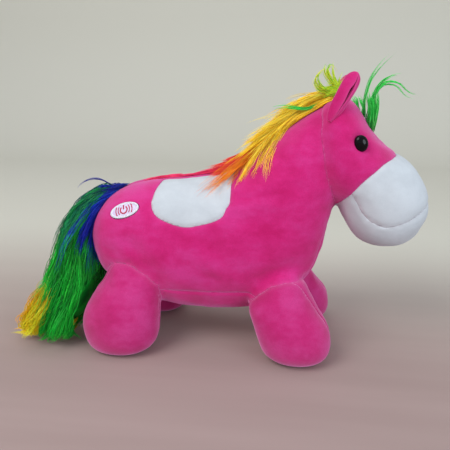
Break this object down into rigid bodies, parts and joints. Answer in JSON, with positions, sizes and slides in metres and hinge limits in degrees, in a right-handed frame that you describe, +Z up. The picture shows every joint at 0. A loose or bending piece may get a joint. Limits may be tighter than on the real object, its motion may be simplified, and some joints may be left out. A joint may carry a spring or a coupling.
{
  "type": "plush pony",
  "caption": "Stuffed pony toy in short-pile plush with a pale muzzle and saddle patches, stub legs, long faux-fur mane and tail, and a press switch on its flank.",
  "frame": {"origin": "middle of the whole object's length and width, on the plane that the four soles stand on", "axes": "+X towards the head, +Y towards the pony's left side, +Z up; the press patch is on the right flank, at -Y"},
  "size_m": [0.42, 0.156, 0.284],
  "materials": {
    "pink_plush": "short brushed pile",
    "white_plush": "short brushed pile",
    "filling": "loose polyester fibre",
    "satin_patch": "woven satin, embroidered rim",
    "eye_black": "polished dome",
    "black_plastic": "moulded",
    "hair_green": "long glossy faux fur",
    "hair_lime": "long glossy faux fur",
    "hair_yellow": "long glossy faux fur",
    "hair_orange": "long glossy faux fur",
    "hair_crimson": "long glossy faux fur",
    "hair_blue": "long glossy faux fur",
    "tape": "woven tape",
    "white_plastic": "moulded",
    "steel": "plain",
    "board": "solder mask",
    "speaker_cone": "pressed paper on a moulded basket",
    "wire": "insulation"
  },
  "bodies": {
    "torso": {"side_panel_right": "pink_plush", "side_panel_left": "pink_plush", "belly_gusset": "pink_plush", "cheek_panel_right": "pink_plush", "cheek_panel_left": "pink_plush", "torso_stuffing": "filling", "head_stuffing": "filling", "saddle_patch_right": "white_plush", "saddle_patch_left": "white_plush", "muzzle_panel": "white_plush", "chin_panel": "white_plush", "eye_right": "eye_black", "eye_left": "eye_black", "eye_washer_right": "black_plastic", "eye_washer_left": "black_plastic", "forelock": "hair_green", "poll_tuft": "hair_lime", "crest_mane": "hair_yellow", "withers_mane": "hair_orange", "back_fringe": "hair_crimson", "mane_backing": "tape", "loop_tape": "tape", "switch_housing": "white_plastic", "unit_housing": "white_plastic", "unit_cover": "white_plastic", "cover_screw": "steel", "button_cell_1": "steel", "button_cell_2": "steel", "button_cell_3": "steel", "contact_plate": "steel", "circuit_board": "board", "speaker": "speaker_cone", "switch_lead": "wire"},
    "press": {"press_patch": "satin_patch", "switch_plunger": "black_plastic"},
    "flap": {"belly_flap": "pink_plush", "hook_tape": "tape"},
    "tail": {"tail_backing": "tape", "tail_hair_blue": "hair_blue", "tail_hair_green": "hair_green", "tail_hair_yellow": "hair_yellow"},
    "right_ear": {"ear_right": "pink_plush", "ear_lining_right": "pink_plush"},
    "left_ear": {"ear_left": "pink_plush", "ear_lining_left": "pink_plush"},
    "right_front_leg": {"front_leg_right_outer": "pink_plush", "front_leg_right_inner": "pink_plush", "front_leg_right_stuffing": "filling"},
    "left_front_leg": {"front_leg_left_outer": "pink_plush", "front_leg_left_inner": "pink_plush", "front_leg_left_stuffing": "filling"},
    "right_hind_leg": {"hind_leg_right_outer": "pink_plush", "hind_leg_right_inner": "pink_plush", "hind_leg_right_stuffing": "filling"},
    "left_hind_leg": {"hind_leg_left_outer": "pink_plush", "hind_leg_left_inner": "pink_plush", "hind_leg_left_stuffing": "filling"}
  },
  "joints": [
    {"name": "switch_press", "type": "slide", "parent": "torso", "child": "press", "axis": [0.1392, 0.8011, -0.5821], "range_m": [0, 0.0022], "stiffness_N_per_m": 400},
    {"name": "flap_open", "type": "hinge", "parent": "torso", "child": "flap", "pos_m": [-0.0332, 0, 0.0342], "axis": [0, 1, 0], "range_deg": [0, 100], "stiffness_Nm_per_rad": 0.05},
    {"name": "tail_lift", "type": "hinge", "parent": "torso", "child": "tail", "pos_m": [-0.098, 0, 0.157], "axis": [0, 1, 0], "range_deg": [0, 50]},
    {"name": "right_ear_bend", "type": "hinge", "parent": "torso", "child": "right_ear", "pos_m": [0.113, -0.0385, 0.229], "axis": [1, 0, 0], "range_deg": [0, 35], "stiffness_Nm_per_rad": 0.02},
    {"name": "left_ear_bend", "type": "hinge", "parent": "torso", "child": "left_ear", "pos_m": [0.113, 0.0385, 0.229], "axis": [-1, 0, 0], "range_deg": [0, 35], "stiffness_Nm_per_rad": 0.02},
    {"name": "right_front_leg_give", "type": "hinge", "parent": "torso", "child": "right_front_leg", "pos_m": [0.07, 0, 0.072], "axis": [0, 1, 0], "range_deg": [-5, 5], "stiffness_Nm_per_rad": 3},
    {"name": "left_front_leg_give", "type": "hinge", "parent": "torso", "child": "left_front_leg", "pos_m": [0.07, 0, 0.072], "axis": [0, 1, 0], "range_deg": [-5, 5], "stiffness_Nm_per_rad": 3},
    {"name": "right_hind_leg_give", "type": "hinge", "parent": "torso", "child": "right_hind_leg", "pos_m": [-0.076, 0, 0.082], "axis": [0, 1, 0], "range_deg": [-5, 5], "stiffness_Nm_per_rad": 3},
    {"name": "left_hind_leg_give", "type": "hinge", "parent": "torso", "child": "left_hind_leg", "pos_m": [-0.076, 0, 0.082], "axis": [0, 1, 0], "range_deg": [-5, 5], "stiffness_Nm_per_rad": 3}
  ]
}
